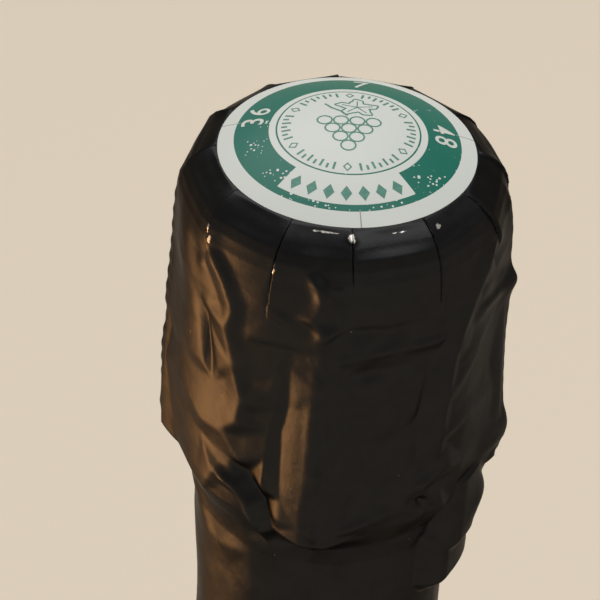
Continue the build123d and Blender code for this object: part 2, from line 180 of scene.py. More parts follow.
pitted = nodes.new("ShaderNodeMix")
pitted.data_type = "RGBA"
links.new(seam.outputs["Result"], pitted.inputs["Factor"])
links.new(given.outputs["Pit"], pitted.inputs["A"])
links.new(granules.outputs["Result"], pitted.inputs["B"])
links.new(pitted.outputs["Result"], made.inputs["Tone"])
links.new(seam.outputs["Result"], made.inputs["Height"])


def cork_material(name, ground, granule, pit, scale, stretch):
    """Dull cork with its cells pressed in."""
    material = bpy.data.materials.new(name)
    material.use_nodes = True
    nodes, links = material.node_tree.nodes, material.node_tree.links
    shader = nodes["Principled BSDF"]
    shader.inputs["Roughness"].default_value = 0.85
    coords = nodes.new("ShaderNodeTexCoord")
    placed = nodes.new("ShaderNodeGroup")
    placed.node_tree = cork_cells
    links.new(coords.outputs["Object"], placed.inputs["Vector"])
    placed.inputs["Stretch"].default_value = stretch
    placed.inputs["Scale"].default_value = scale
    placed.inputs["Ground"].default_value = ground
    placed.inputs["Granule"].default_value = granule
    placed.inputs["Pit"].default_value = pit
    links.new(placed.outputs["Tone"], shader.inputs["Base Color"])
    dents = nodes.new("ShaderNodeBump")
    dents.inputs["Strength"].default_value = 0.6
    dents.inputs["Distance"].default_value = 0.0003
    links.new(placed.outputs["Height"], dents.inputs["Height"])
    links.new(dents.outputs["Normal"], shader.inputs["Normal"])
    return material


pressed_cork = cork_material(
    "pressed_cork", (0.42, 0.24, 0.11, 1), (0.62, 0.40, 0.20, 1), (0.16, 0.08, 0.04, 1), 900, (1, 1, 1)
)
natural_cork = cork_material(
    "natural_cork", (0.48, 0.28, 0.14, 1), (0.58, 0.36, 0.19, 1), (0.20, 0.10, 0.05, 1), 500, (1, 3, 1)
)
for node, material in (
    ("cork_body", pressed_cork),
    ("cork_disc_upper", natural_cork),
    ("cork_disc_lower", natural_cork),
):
    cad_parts[node].data.materials.clear()
    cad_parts[node].data.materials.append(material)

# Cap plate and wires: lacquered tinplate on the cork, held by bright galvanised wire.
# The frame's own solids are kept.
tinplate = bpy.data.materials.new("lacquered_tinplate")
tinplate.use_nodes = True
nodes, links = tinplate.node_tree.nodes, tinplate.node_tree.links
shader = nodes["Principled BSDF"]
shader.inputs["Metallic"].default_value = 0.85
gold = mottled(tinplate, 700.0, (0.60, 0.46, 0.20, 1), (0.70, 0.56, 0.28, 1), smooth=0.25, dull=0.40)
links.new(gold.outputs["Tone"], shader.inputs["Base Color"])
links.new(gold.outputs["Gloss"], shader.inputs["Roughness"])

steel = bpy.data.materials.new("galvanised_wire")
steel.use_nodes = True
nodes, links = steel.node_tree.nodes, steel.node_tree.links
shader = nodes["Principled BSDF"]
shader.inputs["Metallic"].default_value = 1.0
zinc = mottled(steel, 1500.0, (0.52, 0.53, 0.54, 1), (0.72, 0.72, 0.72, 1), smooth=0.22, dull=0.42)
links.new(zinc.outputs["Tone"], shader.inputs["Base Color"])
links.new(zinc.outputs["Gloss"], shader.inputs["Roughness"])

for node, material in (("cap_plate", tinplate), ("cage_wire", steel), ("belt_wire", steel)):
    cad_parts[node].data.materials.clear()
    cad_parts[node].data.materials.append(material)

# Foil skirt: thin aluminium foil lacquered black, pressed over the crown in laps, drawn round
# the cage and crumpled into flat facets with sharp creases. Its folds are in degrees and
# millimetres. Profile: height, radius between the legs, radius over a leg.
rim_height, foot_height = 318.95, 226.3
foil_profile = np.array([
    (rim_height, 13.60, 13.60),
    (318.70, 14.20, 14.20),
    (318.35, 14.85, 14.85),
    (317.80, 15.60, 15.60),
    (316.90, 16.40, 16.40),
    (315.80, 16.95, 17.10),
    (314.30, 17.30, 17.75),
    (312.00, 17.50, 18.05),
    (308.00, 17.60, 18.35),
    (305.00, 17.40, 18.45),
    (302.00, 17.30, 18.60),
    (298.00, 17.30, 18.80),
    (293.00, 17.30, 19.10),
    (288.00, 17.40, 19.40),
    (284.50, 17.50, 19.60),
    (281.50, 17.50, 19.75),
    (279.80, 17.35, 19.40),
    (278.00, 16.60, 18.00),
    (275.90, 15.75, 16.20),
    (272.70, 15.25, 15.35),
    (268.00, 15.05, 15.05),
    (261.00, 14.90, 14.90),
    (254.00, 14.80, 14.80),
    (250.00, 14.85, 14.85),
    (245.00, 15.15, 15.15),
    (240.00, 15.55, 15.55),
    (235.00, 16.15, 16.15),
    (230.00, 16.90, 16.90),
    (foot_height, 17.65, 17.65),
])
leg_turns = (-94.0, -4.0, 86.0, 176.0)
crown_centre, crown_radius = 290.2, 31.45
skirt_radius, rim_radius, leg_radius = 17.5, 16.5, 18
degree = math.radians(1)
unroll = degree * skirt_radius

# Laps pressed into the rim: turn at the disc, turn at the foot, height of the foot, depth
rim_laps = (
    (-143.5, -142.0, 311.5, 0.42),
    (-112.5, -115.0, 308.5, 0.34),
    (-86.5, -85.5, 313.5, 0.20),
    (-54.5, -53.0, 309.5, 0.40),
    (-28.0, -20.0, 312.0, 0.45),
    (3.0, 6.0, 312.0, 0.40),
    (34.0, 33.0, 312.5, 0.28),
    (63.0, 66.0, 311.5, 0.25),
    (95.0, 93.0, 312.0, 0.28),
    (124.0, 126.0, 311.0, 0.26),
    (153.0, 150.0, 312.5, 0.42),
    (182.0, 184.0, 311.5, 0.38),
)
# The sheet's columns crowd towards the laps, and are fewer at the back
front_columns, back_columns, crowding = 44, 20, 0.7
lap_turns = [lap[0] for lap in rim_laps]
columns = []
for start, end in zip(lap_turns, lap_turns[1:] + [lap_turns[0] + 360]):
    count = front_columns if start < 0 else back_columns
    for column in range(count):
        share = column / count
        crowded = share - crowding * math.sin(2 * math.pi * share) / (2 * math.pi)
        columns.append(start + (end - start) * crowded)
turns = np.array(columns)

inner_rings = [10.0, 11.2, 12.4, 13.2]
rim_foot, creased_foot = 313.0, 262.0
rim_rows, creased_rows, neck_rows = 34, 180, 40
heights = np.concatenate([
    np.linspace(rim_height, rim_foot, rim_rows, endpoint=False),
    np.linspace(rim_foot, creased_foot, creased_rows, endpoint=False),
    np.linspace(creased_foot, foot_height, neck_rows),
])
base_out = np.interp(-heights, -foil_profile[:, 0], foil_profile[:, 1])
leg_out = np.interp(-heights, -foil_profile[:, 0], foil_profile[:, 2])


def turn_gap(turn_a, turn_b):
    """Turn from b to a, in degrees, the short way round."""
    return (turn_a - turn_b + 180) % 360 - 180


# The sheet is drawn straight from a leg's ridge to the panel beside it, where it touches it
turn_grid, height_grid = np.meshgrid(turns, heights)
panel = np.repeat(base_out[:, None], len(turns), axis=1)
reach = np.repeat(leg_out[:, None], len(turns), axis=1)
away = np.radians(np.min([np.abs(turn_gap(turn_grid, leg)) for leg in leg_turns], axis=0))
tangent = np.arccos(np.clip(panel / reach, -1, 1))
radial = np.where(away < tangent, panel / np.cos(tangent - np.minimum(away, tangent)), panel)

# Creases of the foil, each a run of turns and heights with its rise and the widths to the
# facets beside it, from the left silhouette of the photograph's side to its right one
creases = (
    ([(-141, 313.8), (-137, 312.6), (-132, 311.0), (-129, 309.2), (-127, 308.0), (-131, 304.9),
      (-127, 300.5), (-123, 296.3), (-125, 292.8), (-133, 290.0)], 0.65, 1.3, 2.4),
    ([(-155, 313.0), (-152, 311.4), (-149, 308.8)], -0.45, 1.3, 1.3),
    ([(-148, 306.5), (-144, 303.9), (-141, 299.2), (-139, 296.0)], -0.55, 1.4, 1.4),
    ([(-124, 303.6), (-116, 304.4), (-105, 304.9), (-99, 305.1)], -0.30, 1.2, 1.6),
    ([(-117, 310.0), (-110, 309.3), (-104, 308.4), (-99, 307.9)], 0.25, 0.9, 0.9),
    ([(-102, 315.4), (-97, 314.4), (-95, 312.3), (-98, 310.4), (-94, 308.6), (-96, 306.6)],
     0.75, 0.9, 1.2),
    ([(-96, 304.6), (-96, 301.6), (-97, 293.4), (-97, 289.3), (-98, 285.1), (-100, 282.4)],
     0.55, 1.0, 1.6),
    ([(-106, 303.0), (-106, 294.0), (-107, 284.4)], -0.65, 1.2, 2.2),
    ([(-91, 305.0), (-83, 305.4), (-69, 306.0), (-54, 305.6), (-49, 305.4)], 0.50, 0.9, 1.4),
    ([(-91, 308.0), (-82, 308.6), (-72, 308.2), (-60, 308.8)], -0.40, 1.2, 1.2),
    ([(-88, 302.4), (-78, 302.9), (-66, 303.0)], -0.45, 1.2, 1.4),
    ([(-88, 297.0), (-80, 294.0), (-76, 289.0)], 0.40, 1.4, 1.8),
    ([(-66, 299.0), (-64, 293.0), (-66, 287.0)], -0.35, 1.6, 1.2),
    ([(-23, 313.7), (-32, 311.4), (-40, 307.7), (-44, 303.2), (-46, 296.7), (-47, 291.4),
      (-47, 287.4)], 0.60, 1.2, 2.6),
    ([(-37, 305.6), (-28, 305.4), (-18, 304.8), (-8, 304.0)], 0.45, 1.2, 1.8),
    ([(-56, 302.0), (-58, 295.0), (-57, 289.0)], -0.40, 1.6, 1.6),
    ([(-136, 283.6), (-130, 284.0), (-124, 283.6), (-119, 282.0), (-114, 278.2), (-112, 275.0)],
     1.0, 1.1, 1.5),
    ([(-129, 286.6), (-121, 285.8), (-113, 283.0), (-108, 278.8)], -0.85, 1.1, 1.3),
    ([(-92, 280.6), (-82, 281.2), (-71, 282.2), (-62, 282.4)], 0.45, 1.0, 1.4),
    ([(-90, 278.6), (-80, 279.2), (-70, 280.0)], -0.35, 1.0, 1.2),
    ([(-59, 284.6), (-54, 285.0), (-49, 285.4), (-42, 285.8), (-33, 284.8)], 0.50, 1.2, 1.2),
    ([(-57, 282.8), (-53, 282.2), (-50, 280.8)], -0.90, 1.0, 1.0),
    ([(-46, 283.2), (-43, 279.5), (-44, 275.5)], 0.60, 1.0, 1.6),
)

# A crease fades at its ends, and the foil dips a little on both its sides
end_share, dip_share, knot_clear = 0.3, 0.15, 0.8
chance = random.Random(11)
knots, folds, rises = [], [], []
for run, rise, left, right in creases:
    first = len(knots)
    spots = [(turn * unroll, height) for turn, height in run]
    for number, (across, height) in enumerate(spots):
        knots.append((across, height))
        rises.append(rise if 0 < number < len(spots) - 1 else end_share * rise)
    folds += [(first + number, first + number + 1) for number in range(len(spots) - 1)]
crease_knots = np.array(knots)
for run, rise, left, right in creases:
    spots = [(turn * unroll, height) for turn, height in run]
    for (ax, ay), (bx, by) in zip(spots, spots[1:]):
        length = math.hypot(bx - ax, by - ay)
        for width, way in ((left, 1), (right, -1)):
            across = (ax + bx) / 2 - way * width * (by - ay) / length
            height = (ay + by) / 2 + way * width * (bx - ax) / length
            if np.hypot(crease_knots[:, 0] - across, crease_knots[:, 1] - height).min() > knot_clear:
                knots.append((across, height))
                rises.append(-dip_share * rise)

# Small facets between the creases, none on the crown and faint ones on the neck
round_trip = 360 * unroll
start_turn = -184
facet_top, facet_step, row_share = 318.0, 4.4, 0.9
facet_rows, facet_columns = 24, 25
side_play, height_play, crease_clear = 0.38, 0.35, 1.9
swing_depths = (-316, -312, -304, -284, -276, -264, -256, -226)
swings = (0, 0.12, 0.30, 0.34, 0.42, 0.22, 0.10, 0.08)
for row in range(facet_rows):
    for column in range(facet_columns):
        columns_across = column + 0.5 * (row % 2) + chance.uniform(-side_play, side_play)
        across = columns_across * round_trip / facet_columns + start_turn * unroll
        height = facet_top - facet_step * (row * row_share + chance.uniform(-height_play, height_play))
        gaps = [
            math.hypot((across - x + round_trip / 2) % round_trip - round_trip / 2, height - z)
            for x, z in knots
        ]
        if min(gaps) > crease_clear:
            swing = np.interp(-height, swing_depths, swings)
            knots.append((across, height))
            rises.append(chance.uniform(-0.8, 1.0) * float(swing))
border_heights, border_columns = (320.0, 224.0), 24
for height in border_heights:
    for column in range(border_columns):
        knots.append(((column * 360 / border_columns + start_turn) * unroll, height))
        rises.append(0.0)

# The knots and creases are joined into facets on the unrolled sheet, with one more turn of it
# on each side, and each grid point takes its rise from the facet that it lies in
count = len(knots)
flat_knots = [Vector((x + lap * round_trip, z)) for lap in (-1, 0, 1) for x, z in knots]
flat_folds = [(a + lap * count, b + lap * count) for lap in range(3) for a, b in folds]
corners, _, facets, sources, _, _ = geometry.delaunay_2d_cdt(flat_knots, flat_folds, [], 0, 0.0001)
corner_rise = []
for corner, source in zip(corners, sources):
    if source:
        nearest = source[0]
    else:
        nearest = min(range(len(flat_knots)), key=lambda knot: (flat_knots[knot] - corner).length)
    corner_rise.append(rises[nearest % count])
hair = 1e-6
crumple = np.zeros(radial.shape)
across_row = turns * unroll
for facet in facets:
    (ax, ay), (bx, by), (cx, cy) = (corners[corner] for corner in facet)
    area = (bx - ax) * (cy - ay) - (cx - ax) * (by - ay)
    picked_columns = np.nonzero((across_row >= min(ax, bx, cx)) & (across_row <= max(ax, bx, cx)))[0]
    picked_rows = np.nonzero((heights >= min(ay, by, cy)) & (heights <= max(ay, by, cy)))[0]
    if abs(area) < hair or not len(picked_columns) or not len(picked_rows):
        continue
    x, z = across_row[picked_columns][None, :], heights[picked_rows][:, None]
    share_b = ((x - ax) * (cy - ay) - (cx - ax) * (z - ay)) / area
    share_c = ((bx - ax) * (z - ay) - (x - ax) * (by - ay)) / area
    inside = (share_b >= -hair) & (share_c >= -hair) & (share_b + share_c <= 1 + hair)
    a, b, c = (corner_rise[corner] for corner in facet)
    patch = np.ix_(picked_rows, picked_columns)
    crumple[patch] = np.where(inside, a + share_b * (b - a) + share_c * (c - a), crumple[patch])
for softening in range(2):
    crumple = (np.roll(crumple, 1, 1) + 2 * crumple + np.roll(crumple, -1, 1)) / 4
    crumple[1:-1] = (crumple[:-2] + 2 * crumple[1:-1] + crumple[2:]) / 4
radial += crumple

# Between two laps the rim is flat, as the foil is stretched over the plate's edge
flat_depths = (-rim_height, -318.5, -317.6, -316.9, -315.0, -311.0)
flat_share = np.interp(-heights, flat_depths, (0, 0.8, 0.8, 0.3, 0.3, 0))
for start, end in zip(lap_turns, lap_turns[1:] + [lap_turns[0] + 360]):
    half = (end - start) / 2
    gap = turn_gap(turn_grid, start + half)
    dip = 1 - math.cos(math.radians(half)) / np.cos(np.radians(np.clip(gap, -half, half)))
    radial -= np.where(np.abs(gap) < half, radial * flat_share[:, None] * dip, 0)

# Laps at the rim: the foil climbs to an edge and drops into a crevice
climb_width, crevice_width, crevice_share = 1.6, 0.16, 1.1
for turn_top, turn_foot, height_foot, lap_depth in rim_laps:
    share = np.clip((rim_height - height_grid) / (rim_height - height_foot), 0, 1.3)
    gap = turn_gap(turn_grid, turn_top + (turn_foot - turn_top) * share) * degree * rim_radius
    strength = np.clip(1 - share ** 3, 0, 1) * lap_depth
    climb = strength * np.exp(-gap / climb_width)
    crevice = -crevice_share * strength * np.exp(-((gap / crevice_width) ** 2))
    radial += np.where(gap > 0, climb, crevice)

# The foil lies over the belt wire's tail, which is folded flat on the neck. For its twist and
# its loop: radius over it, half width, fall at the sides, lowest height, height it starts at
tail_turn, foot_fall, rounding = -24, 0.5, 0.05
tail_covers = (
    (18.05, 1.2, 0.13, 271.4, 281.0),
    (17.40, 2.6, 0.16, 266.0, 273.5),
)
tail_gap = np.abs(turn_gap(turn_grid, tail_turn)) * degree * skirt_radius
for over, half_width, side_fall, foot, start in tail_covers:
    sides = side_fall * np.maximum(tail_gap - half_width, 0) ** 2
    cover = over - sides - foot_fall * np.maximum(foot - height_grid, 0) ** 1.5
    lift = cover + 0.5 * crumple - radial
    radial += np.where(height_grid < start, 0.5 * (lift + np.sqrt(lift ** 2 + rounding)), 0)

# Swells on the right side: turn, height, rise, half width in degrees, half height
swells = (
    (-6, 275.8, 1.5, 13, 3.0),
    (-6, 283.0, 0.7, 12, 2.4),
    (-5, 304.2, 0.8, 6, 1.6),
)
for turn, height, rise, half_width, half_height in swells:
    beside = turn_gap(turn_grid, turn) / half_width
    above = (height_grid - height) / half_height
    radial += rise * np.exp(-beside ** 2) * np.exp(-above ** 2)

# The foil lies over the legs, which lean outwards to their feet, and their twist shows in bumps
leg_top, leg_foot, leg_lean, foot_radius = 314.2, 279.2, 0.0617, 19.2
top_radius, top_radius_height = 17.48, 313.45
wire_clear, half_leg, leg_fall = 0.14, 1.25, 0.55
bump_pitch, bump_width, bumps_top, bumps_foot, bumps_fade = 2.1, 1.1, 314, 284, 2
front_bump, back_bump = 0.015, 0.05
leg_line = top_radius + (top_radius_height - height_grid) * leg_lean
for leg in leg_turns:
    gap = np.abs(turn_gap(turn_grid, leg)) * degree * leg_radius
    on_leg = (height_grid < leg_top) & (height_grid > leg_foot)
    wire_top = np.minimum(leg_line, foot_radius) + wire_clear - leg_fall * np.maximum(gap - half_leg, 0)
    radial = np.where(on_leg, np.maximum(radial, wire_top), radial)
    from_top = np.clip((bumps_top - height_grid) / bumps_fade, 0, 1)
    from_foot = np.clip((height_grid - bumps_foot) / bumps_fade, 0, 1)
    bumps = np.exp(-((gap / bump_width) ** 2)) * from_top * from_foot
    bump = back_bump if leg > 0 else front_bump
    radial += bump * bumps * (1 + np.sin(height_grid * 2 * math.pi / bump_pitch + leg))

# Painted highlights: bright metal spots and thin lines where glints fall on the laps and along the
# rim's edge: turn, height, half width, half height
painted_glint_spots = (
    (-87.0, 318.45, 0.60, 0.28),
    (-98.0, 318.62, 2.2, 0.045),
    (-143.0, 315.6, 0.40, 0.70),
    (-141.0, 314.6, 0.25, 0.50),
    (-113.5, 314.8, 0.25, 0.50),
    (-51.0, 318.30, 0.70, 0.18),
    (-68.0, 318.45, 1.8, 0.040),
)
painted_glints = np.zeros(radial.shape)
for turn, height, half_width, half_height in painted_glint_spots:
    gap = turn_gap(turn_grid, turn) * degree * rim_radius
    spot = np.exp(-((gap / half_width) ** 2) - ((height_grid - height) / half_height) ** 2)
    painted_glints = np.maximum(painted_glints, spot)

# A small tuft stands up where the front lap meets the disc
tuft_turn, tuft_height, tuft_rise = -87.0, 318.4, 0.35
tuft_half_turn, tuft_half_height = 0.5 / 0.27, 0.25
tuft_side = turn_gap(turn_grid, tuft_turn) / tuft_half_turn
tuft_up = (height_grid - tuft_height) / tuft_half_height
radial += tuft_rise * np.exp(-(tuft_side ** 2) - tuft_up ** 2)

# The sheet runs from under the disc over the rim to the foot, where its hem is turned in:
# how far below the foot and how far in each ring of the hem lies
hem = ((0.25, 0.12), (0.3, 0.3), (0.0, 0.42), (-2.5, 0.55))
foil_points = []
for radius in inner_rings:
    for turn in turns:
        angle = math.radians(turn)
        foil_points.append((
            radius * math.cos(angle), radius * math.sin(angle),
            crown_centre + math.sqrt(crown_radius ** 2 - radius ** 2),
        ))
for row, height in enumerate(heights):
    for column, turn in enumerate(turns):
        angle = math.radians(turn)
        radius = radial[row, column]
        foil_points.append((radius * math.cos(angle), radius * math.sin(angle), height))
for drop, inset in hem:
    for column, turn in enumerate(turns):
        angle = math.radians(turn)
        radius = radial[-1, column] - inset
        foil_points.append((radius * math.cos(angle), radius * math.sin(angle), heights[-1] - drop))
ring_count = len(foil_points) // len(turns)
wide = len(turns)
foil_faces = [
    (ring * wide + column, (ring + 1) * wide + column,
     (ring + 1) * wide + (column + 1) % wide, ring * wide + (column + 1) % wide)
    for ring in range(ring_count - 1)
    for column in range(wide)
]
mesh = bpy.data.meshes.new("foil_skirt_sheet")
mesh.from_pydata([(x * mm, y * mm, z * mm) for x, y, z in foil_points], [], foil_faces)
mesh.update()
foil = bpy.data.objects.new("foil_skirt_sheet", mesh)
bpy.context.scene.collection.objects.link(foil)
mesh.polygons.foreach_set("use_smooth", [True] * len(mesh.polygons))
# The painted highlights are carried to the lacquer in this attribute
painted_glint_layer = mesh.attributes.new("painted_glint_layer", "FLOAT", "POINT")
edge_count = len(inner_rings) * wide
painted_glint_layer.data.foreach_set("value", np.concatenate([
    np.zeros(edge_count), painted_glints.ravel(), np.zeros(len(foil_points) - edge_count - painted_glints.size)
]))

lacquer = bpy.data.materials.new("black_lacquered_foil")
lacquer.use_nodes = True
nodes, links = lacquer.node_tree.nodes, lacquer.node_tree.links
shader = nodes["Principled BSDF"]
shader.inputs["Metallic"].default_value = 1.0
shader.inputs["Specular Tint"].default_value = (0.46, 0.45, 0.44, 1)
crinkle = mottled(
    lacquer, 420.0, (0.0185, 0.0192, 0.0204, 1), (0.0300, 0.0310, 0.0328, 1),
    detail=5.0, coarseness=0.6, smooth=0.30, dull=0.46,
)
coords = nodes.new("ShaderNodeTexCoord")
specks = nodes.new("ShaderNodeTexVoronoi")
specks.inputs["Scale"].default_value = 300.0
links.new(coords.outputs["Object"], specks.inputs["Vector"])
dust = nodes.new("ShaderNodeMapRange")
dust.inputs["From Min"].default_value = 0.032
dust.inputs["From Max"].default_value = 0.020
links.new(specks.outputs["Distance"], dust.inputs["Value"])
dusty = nodes.new("ShaderNodeMix")
dusty.data_type = "RGBA"
dusty.inputs["B"].default_value = (0.16, 0.15, 0.14, 1)
links.new(dust.outputs["Result"], dusty.inputs["Factor"])
links.new(crinkle.outputs["Tone"], dusty.inputs["A"])
# Painted highlights: where the attribute is set, ragged spots turn the lacquer to bright metal
glint_attribute = nodes.new("ShaderNodeAttribute")
glint_attribute.attribute_name = "painted_glint_layer"
ragged = nodes.new("ShaderNodeTexNoise")
ragged.inputs["Scale"].default_value = 2200.0
links.new(coords.outputs["Object"], ragged.inputs["Vector"])
ragged_glints = nodes.new("ShaderNodeMath")
ragged_glints.operation = "MULTIPLY"
links.new(glint_attribute.outputs["Fac"], ragged_glints.inputs[0])
links.new(ragged.outputs["Fac"], ragged_glints.inputs[1])
glint_mask = nodes.new("ShaderNodeMapRange")
glint_mask.inputs["From Min"].default_value = 0.24
glint_mask.inputs["From Max"].default_value = 0.34
links.new(ragged_glints.outputs["Value"], glint_mask.inputs["Value"])
lacquer_with_glints = nodes.new("ShaderNodeMix")
lacquer_with_glints.data_type = "RGBA"
lacquer_with_glints.inputs["B"].default_value = (0.62, 0.60, 0.56, 1)
links.new(glint_mask.outputs["Result"], lacquer_with_glints.inputs["Factor"])
links.new(dusty.outputs["Result"], lacquer_with_glints.inputs["A"])
links.new(lacquer_with_glints.outputs["Result"], shader.inputs["Base Color"])
links.new(crinkle.outputs["Gloss"], shader.inputs["Roughness"])
fine_bump = nodes.new("ShaderNodeBump")
fine_bump.inputs["Strength"].default_value = 0.22
fine_bump.inputs["Distance"].default_value = 0.0003
links.new(crinkle.outputs["Height"], fine_bump.inputs["Height"])
links.new(fine_bump.outputs["Normal"], shader.inputs["Normal"])
mesh.materials.append(lacquer)
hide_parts("foil_skirt")
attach(foil, "foil")

# Top disc: a disc of printed foil laid on the crown, white with a green band.
# The frame's own solid is kept and gets the print.
print_green = (0.004, 0.150, 0.110, 1)
paper_white = (0.655, 0.70, 0.68, 1)
band_inner, band_outer, circle_line, line_width = 8.3, 11.9, 7.5, 0.18
window_turn, window_half_turn, window_outer = -90, 39, 11.15

disc_print = bpy.data.materials.new("printed_disc")
disc_print.use_nodes = True
nodes, links = disc_print.node_tree.nodes, disc_print.node_tree.links
shader = nodes["Principled BSDF"]
shader.inputs["Specular IOR Level"].default_value = 0.30
shader.inputs["Roughness"].default_value = 0.40
coords = nodes.new("ShaderNodeTexCoord")
split = nodes.new("ShaderNodeSeparateXYZ")
links.new(coords.outputs["Object"], split.inputs["Vector"])
flat = nodes.new("ShaderNodeCombineXYZ")
links.new(split.outputs["X"], flat.inputs["X"])
links.new(split.outputs["Y"], flat.inputs["Y"])
radius_from_axis = nodes.new("ShaderNodeVectorMath")
radius_from_axis.operation = "LENGTH"
links.new(flat.outputs["Vector"], radius_from_axis.inputs[0])


def between(low, high):
    """A mask that is one between two radii, in millimetres."""
    above = nodes.new("ShaderNodeMath")
    above.operation = "GREATER_THAN"
    above.inputs[1].default_value = low * mm
    links.new(radius_from_axis.outputs["Value"], above.inputs[0])
    below = nodes.new("ShaderNodeMath")
    below.operation = "LESS_THAN"
    below.inputs[1].default_value = high * mm
    links.new(radius_from_axis.outputs["Value"], below.inputs[0])
    both = nodes.new("ShaderNodeMath")
    both.operation = "MULTIPLY"
    links.new(above.outputs["Value"], both.inputs[0])
    links.new(below.outputs["Value"], both.inputs[1])
    return both


band = between(band_inner, band_outer)
thin = between(circle_line - line_width / 2, circle_line + line_width / 2)
# A white window is left in the band on the near side, with a thin strip outside it
turn_about = nodes.new("ShaderNodeMath")
turn_about.operation = "ARCTAN2"
links.new(split.outputs["Y"], turn_about.inputs[0])
links.new(split.outputs["X"], turn_about.inputs[1])
in_window = nodes.new("ShaderNodeMath")
in_window.operation = "COMPARE"
in_window.inputs[1].default_value = math.radians(window_turn)
in_window.inputs[2].default_value = math.radians(window_half_turn)
links.new(turn_about.outputs["Value"], in_window.inputs[0])
window = nodes.new("ShaderNodeMath")
window.operation = "MULTIPLY"
links.new(in_window.outputs["Value"], window.inputs[0])
links.new(between(band_inner, window_outer).outputs["Value"], window.inputs[1])
open_band = nodes.new("ShaderNodeMath")
open_band.operation = "SUBTRACT"
links.new(band.outputs["Value"], open_band.inputs[0])
links.new(window.outputs["Value"], open_band.inputs[1])
inked = nodes.new("ShaderNodeMath")
inked.operation = "MAXIMUM"
links.new(open_band.outputs["Value"], inked.inputs[0])
links.new(thin.outputs["Value"], inked.inputs[1])
flecks = nodes.new("ShaderNodeTexVoronoi")
flecks.inputs["Scale"].default_value = 2000.0
links.new(coords.outputs["Object"], flecks.inputs["Vector"])
patches = nodes.new("ShaderNodeTexNoise")
patches.inputs["Scale"].default_value = 330.0
patches.inputs["Detail"].default_value = 3.0
links.new(coords.outputs["Object"], patches.inputs["Vector"])
near_side = nodes.new("ShaderNodeMapRange")
near_side.inputs["From Min"].default_value = 0.006
near_side.inputs["From Max"].default_value = -0.012
near_side.inputs["To Min"].default_value = -0.05
near_side.inputs["To Max"].default_value = 0.08
links.new(split.outputs["Y"], near_side.inputs["Value"])
rubbed = nodes.new("ShaderNodeMath")
rubbed.operation = "ADD"
links.new(patches.outputs["Fac"], rubbed.inputs[0])
links.new(near_side.outputs["Result"], rubbed.inputs[1])
fleck_size = nodes.new("ShaderNodeMapRange")
fleck_size.inputs["From Min"].default_value = 0.50
fleck_size.inputs["From Max"].default_value = 0.72
fleck_size.inputs["To Max"].default_value = 0.34
links.new(rubbed.outputs["Value"], fleck_size.inputs["Value"])
kept_ink = nodes.new("ShaderNodeMath")
kept_ink.operation = "GREATER_THAN"
links.new(flecks.outputs["Distance"], kept_ink.inputs[0])
links.new(fleck_size.outputs["Result"], kept_ink.inputs[1])
ink = nodes.new("ShaderNodeMath")
ink.operation = "MULTIPLY"
links.new(inked.outputs["Value"], ink.inputs[0])
links.new(kept_ink.outputs["Value"], ink.inputs[1])
colour = nodes.new("ShaderNodeMix")
colour.data_type = "RGBA"
colour.inputs["A"].default_value = paper_white
colour.inputs["B"].default_value = print_green
links.new(ink.outputs["Value"], colour.inputs["Factor"])
# Three short creases of the disc's edge get painted shade, dark lines laid over the print: turn, inner
# end
disc_edge, crease_half_turn = 14.0, 0.005
with_crease_shade = colour
for crease_turn, crease_foot in ((168, 10.6), (12, 11.6), (-83, 11.7)):
    on_line = nodes.new("ShaderNodeMath")
    on_line.operation = "COMPARE"
    on_line.inputs[1].default_value = math.radians(crease_turn)
    on_line.inputs[2].default_value = crease_half_turn
    links.new(turn_about.outputs["Value"], on_line.inputs[0])
    crease_shade_mask = nodes.new("ShaderNodeMath")
    crease_shade_mask.operation = "MULTIPLY"
    links.new(on_line.outputs["Value"], crease_shade_mask.inputs[0])
    links.new(between(crease_foot, disc_edge).outputs["Value"], crease_shade_mask.inputs[1])
    # Painted shade: the print is darkened along the crease line
    shade = nodes.new("ShaderNodeMix")
    shade.data_type = "RGBA"
    shade.inputs["B"].default_value = (0.30, 0.32, 0.31, 1)
    links.new(crease_shade_mask.outputs["Value"], shade.inputs["Factor"])
    links.new(with_crease_shade.outputs["Result"], shade.inputs["A"])
    with_crease_shade = shade
links.new(with_crease_shade.outputs["Result"], shader.inputs["Base Color"])
dimples = nodes.new("ShaderNodeBump")
dimples.inputs["Strength"].default_value = 0.15
dimples.inputs["Distance"].default_value = 0.0003
links.new(patches.outputs["Fac"], dimples.inputs["Height"])
links.new(dimples.outputs["Normal"], shader.inputs["Normal"])

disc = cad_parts["top_disc"]
disc.data.materials.clear()
disc.data.materials.append(disc_print)

# Print on the disc: numerals on the band, lozenges in its window, a ring of ticks and a bunch
# of grapes under a leaf, all thin ink sheets that follow the dome, a hair above it.
disc_centre, disc_dome, ink_height = 290.2, 31.8, 0.02


def on_dome(x, y):
    """A point of the disc's face, just above it, in metres."""
    height = disc_centre + math.sqrt(disc_dome ** 2 - x ** 2 - y ** 2) + ink_height
    return (x * mm, y * mm, height * mm)


def ink_strip(points, width=0.17, closed=True):
    """Vertices and faces of a line of ink along points of the disc."""
    ends = [points[-1] if closed else points[0]] + points + [points[0] if closed else points[-1]]
    sides = []
    for before, point, after in zip(ends, ends[1:], ends[2:]):
        length = math.dist(before, after)
        across_x, across_y = (before[1] - after[1]) / length, (after[0] - before[0]) / length
        sides.append(on_dome(point[0] + width / 2 * across_x, point[1] + width / 2 * across_y))
        sides.append(on_dome(point[0] - width / 2 * across_x, point[1] - width / 2 * across_y))
    count = len(points)
    return sides, [
        (2 * step, 2 * step + 1, (2 * step + 3) % (2 * count), (2 * step + 2) % (2 * count))
        for step in range(count if closed else count - 1)
    ]


def polar(radius, turn):
    """A point of the disc at a radius and a turn."""
    return (radius * math.cos(math.radians(turn)), radius * math.sin(math.radians(turn)))


